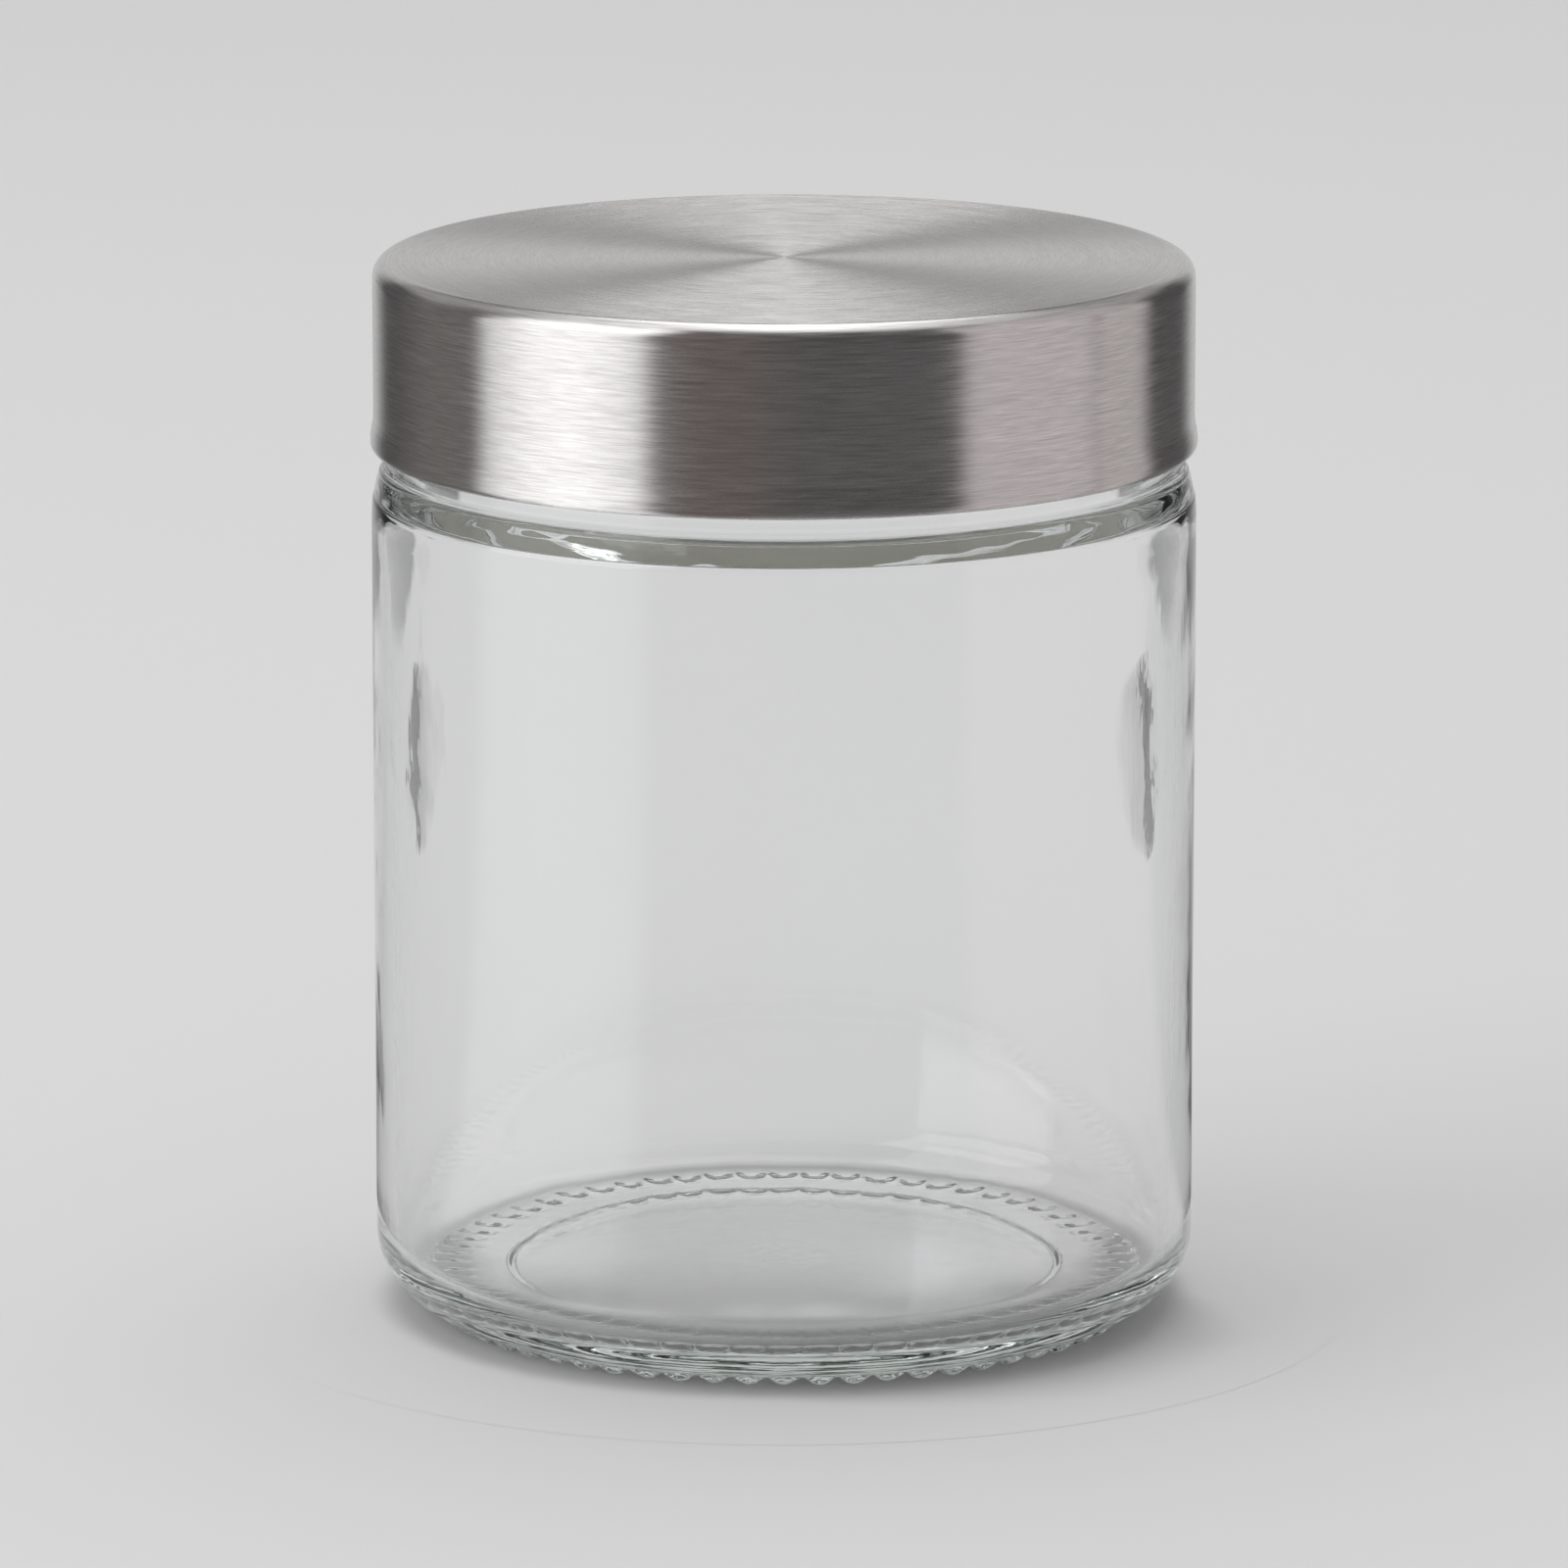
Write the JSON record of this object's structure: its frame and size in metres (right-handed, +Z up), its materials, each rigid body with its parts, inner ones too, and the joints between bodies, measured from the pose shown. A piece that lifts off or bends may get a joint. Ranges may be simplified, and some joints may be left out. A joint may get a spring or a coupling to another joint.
{
  "type": "spice jar",
  "caption": "Round clear glass storage jar with a knurled standing ring and a brushed steel screw lid over a moulded inner cap and a flat seal.",
  "frame": {"origin": "centre of the circle that the knurled ring stands on, at table height", "axes": "+Z up along the jar's axis; -Y is the side that faces the camera in the picture"},
  "size_m": [0.0702, 0.0702, 0.0905],
  "materials": {
    "clear_glass": "clear soda-lime glass with a faint green tint where it is thick",
    "brushed_steel": "circular brushing on the top, brushing round the side",
    "insert_plastic": "moulded polypropylene, natural white",
    "seal_rubber": "translucent silicone"
  },
  "bodies": {
    "jar": {"glass_jar": "clear_glass"},
    "seal": {"lid_seal": "seal_rubber"},
    "lid": {"lid_shell": "brushed_steel", "lid_insert": "insert_plastic"}
  },
  "joints": [
    {"name": "lid_lift", "type": "slide", "parent": "jar", "child": "seal", "axis": [0, 0, 1], "range_m": [0, 0.021]},
    {"name": "lid_turn", "type": "hinge", "parent": "seal", "child": "lid", "pos_m": [0, 0, 0.0876], "axis": [0, 0, 1], "range_deg": [0, 540]}
  ],
  "couplings": [
    {"joint": "lid_lift", "follows": "lid_turn", "m_per_rad": 0.002228}
  ]
}
